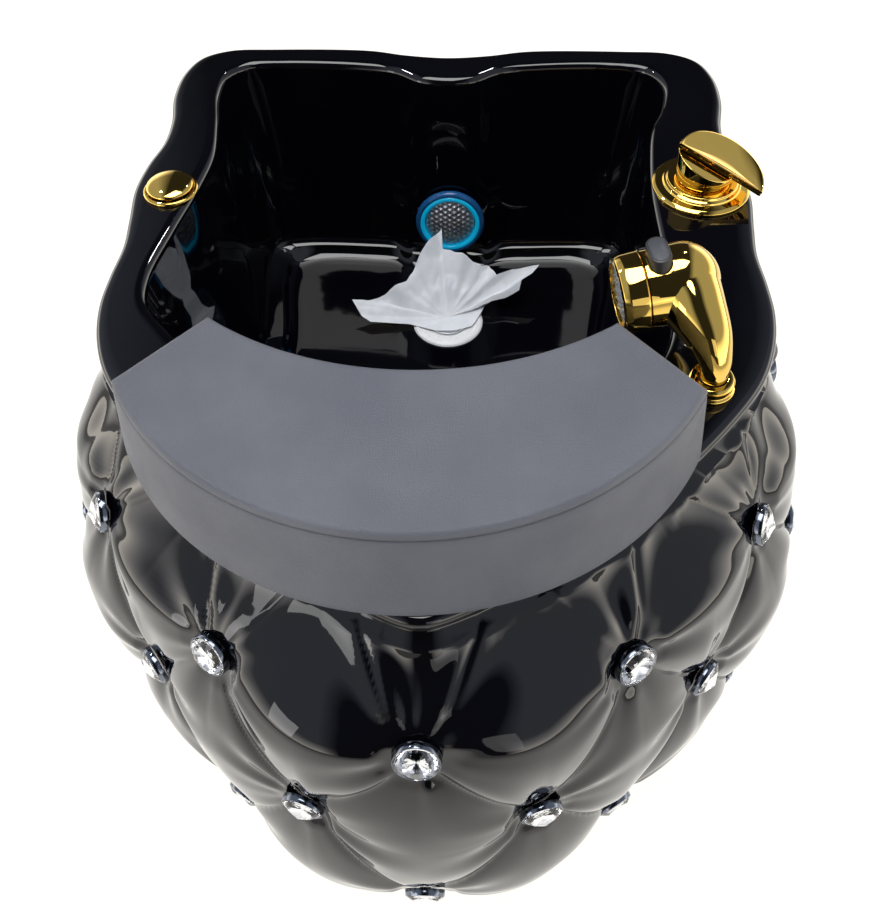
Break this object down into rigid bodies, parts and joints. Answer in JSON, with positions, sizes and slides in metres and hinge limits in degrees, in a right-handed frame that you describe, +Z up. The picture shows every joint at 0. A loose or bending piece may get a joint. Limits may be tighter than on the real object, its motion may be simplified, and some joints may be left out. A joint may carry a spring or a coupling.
{
  "type": "foot spa basin",
  "caption": "Free-standing glossy black salon basin with a diamond-tufted shell, crystal buttons, gold mixer, pull-out spray, air switch, lit water jet, drain and a loose crescent pad.",
  "frame": {"origin": "on the floor, under the middle of the unit's bounding box", "axes": "+Z up, front of the unit (pad side) towards -Y, mixer and spray on the +X side"},
  "size_m": [0.5938, 0.6916, 0.5005],
  "materials": {
    "gelcoat": "deep black polished gel-coat over glass fibre, mirror gloss",
    "pad_leather": "matt slate-grey moulded polyurethane skin with a fine leather grain",
    "crystal": "clear faceted stone with a silvered back, in a dark collar",
    "gold": "polished gold plate",
    "brass": "machined brass",
    "steel": "bright stainless steel",
    "jet_mesh": "satin grey metal mesh",
    "light_ring": "translucent cyan light ring",
    "black_plastic": "black moulded plastic",
    "grey_plastic": "grey moulded plastic",
    "white_plastic": "white moulded plastic",
    "rubber": "black rubber",
    "board": "black-stained waterproof board"
  },
  "bodies": {
    "root": {"basin_deck": "gelcoat", "tufted_shell": "gelcoat", "crystal_upper_1": "crystal", "crystal_upper_2": "crystal", "crystal_upper_3": "crystal", "crystal_upper_4": "crystal", "crystal_upper_5": "crystal", "crystal_middle_1": "crystal", "crystal_middle_2": "crystal", "crystal_middle_3": "crystal", "crystal_middle_4": "crystal", "crystal_middle_5": "crystal", "crystal_middle_6": "crystal", "crystal_lower_1": "crystal", "mixer_escutcheon": "gold", "spray_collar": "gold", "air_switch_bezel": "gold", "mixer_shank": "brass", "mixer_lock_nut": "brass", "spray_lock_nut": "brass", "air_switch_nut": "brass", "hot_inlet_tail": "steel", "cold_inlet_tail": "steel", "spray_hose_loop": "steel", "drain_flange": "steel", "jet_cover": "jet_mesh", "jet_light_ring": "light_ring", "jet_housing": "black_plastic", "jet_lock_nut": "black_plastic", "jet_motor": "black_plastic", "control_box": "black_plastic", "mixer_cartridge": "white_plastic", "air_tube": "white_plastic", "drain_lock_nut": "white_plastic", "drain_tailpipe": "white_plastic", "mixer_gasket": "rubber", "air_bellows": "rubber", "drain_gasket": "rubber", "foot_1": "rubber", "foot_2": "rubber", "foot_3": "rubber", "foot_4": "rubber", "base_board": "board"},
    "pad": {"rest_pad": "pad_leather"},
    "mixer_swivel": {"mixer_neck": "gold", "mixer_stem": "steel"},
    "mixer_handle": {"mixer_lever": "gold"},
    "spray_hose": {"spray_hose_riser": "steel", "spray_hose_ferrule": "black_plastic"},
    "spray_handset": {"spray_body": "gold", "spray_nozzle_ring": "gold", "spray_face": "grey_plastic"},
    "spray_thumb": {"spray_thumb_button": "black_plastic"},
    "air_button": {"air_switch_button": "gold"},
    "jet_rotor": {"jet_impeller": "grey_plastic"},
    "strainer": {"drain_strainer": "steel"}
  },
  "joints": [
    {"name": "pad_lift", "type": "slide", "parent": "root", "child": "pad", "axis": [0, 0, 1], "range_m": [0, 0.08]},
    {"name": "mixer_turn", "type": "hinge", "parent": "root", "child": "mixer_swivel", "pos_m": [0.21, 0.137, 0.42], "axis": [0, 0, 1], "range_deg": [-45, 45]},
    {"name": "mixer_lift", "type": "hinge", "parent": "mixer_swivel", "child": "mixer_handle", "pos_m": [0.1896, 0.14524, 0.45561], "axis": [-0.3746, -0.9272, 0], "range_deg": [0, 25]},
    {"name": "spray_pull", "type": "slide", "parent": "root", "child": "spray_hose", "axis": [0, 0, 1], "range_m": [0, 0.12]},
    {"name": "spray_turn", "type": "hinge", "parent": "spray_hose", "child": "spray_handset", "pos_m": [0.187, -0.079, 0.42], "axis": [0, 0, 1], "range_deg": [-60, 0]},
    {"name": "spray_thumb_press", "type": "slide", "parent": "spray_handset", "child": "spray_thumb", "axis": [0.163, 0.0251, -0.9863], "range_m": [0, 0.0025], "stiffness_N_per_m": 400, "springref_m": -0.002},
    {"name": "air_button_press", "type": "slide", "parent": "root", "child": "air_button", "axis": [0, 0, -1], "range_m": [0, 0.003], "stiffness_N_per_m": 500, "springref_m": -0.003},
    {"name": "jet_spin", "type": "hinge", "parent": "root", "child": "jet_rotor", "pos_m": [0.003, 0.2706, 0.275], "axis": [0, -0.9921, 0.1253], "continuous": true},
    {"name": "strainer_lift", "type": "slide", "parent": "root", "child": "strainer", "axis": [0, 0, 1], "range_m": [0, 0.05]}
  ]
}
